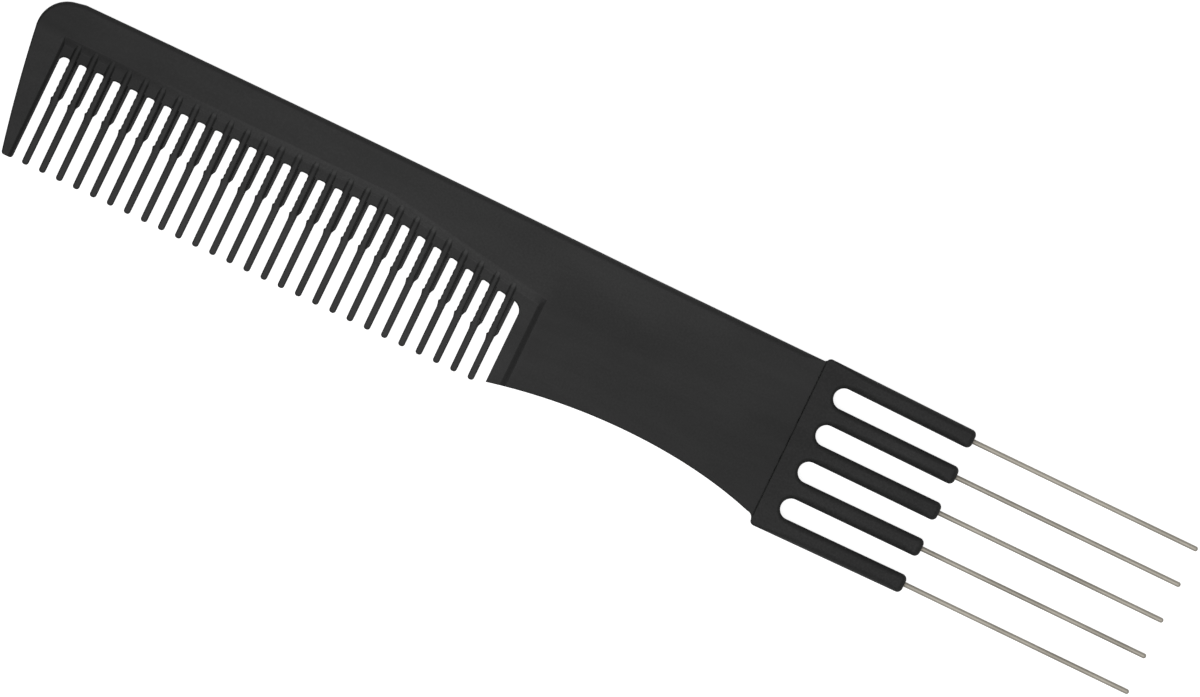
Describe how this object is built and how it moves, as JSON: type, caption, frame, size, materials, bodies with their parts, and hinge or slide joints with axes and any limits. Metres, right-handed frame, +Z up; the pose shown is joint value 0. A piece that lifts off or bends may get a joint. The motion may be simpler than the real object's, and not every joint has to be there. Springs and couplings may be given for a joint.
{
  "type": "lift comb",
  "caption": "Flat moulded lift comb: a toothed blade runs into a plain handle, closed by a slotted holder whose fingers carry straight steel lift pins.",
  "frame": {"origin": "middle of the plan outline, on the surface that the comb lies on", "axes": "+X along the comb from the toothed end to the pins, teeth towards -Y, +Z up through the thickness"},
  "size_m": [0.194, 0.028, 0.004],
  "materials": {
    "comb_plastic": "black moulded plastic, satin-matte",
    "holder_plastic": "black moulded plastic, a little darker and smoother than the body",
    "pin_steel": "drawn steel wire, warm grey, finely scratched along its length"
  },
  "bodies": {
    "root": {"comb_body": "comb_plastic", "prong_holder": "holder_plastic", "lift_pin_1": "pin_steel", "lift_pin_2": "pin_steel", "lift_pin_3": "pin_steel", "lift_pin_4": "pin_steel", "lift_pin_5": "pin_steel"}
  },
  "joints": []
}
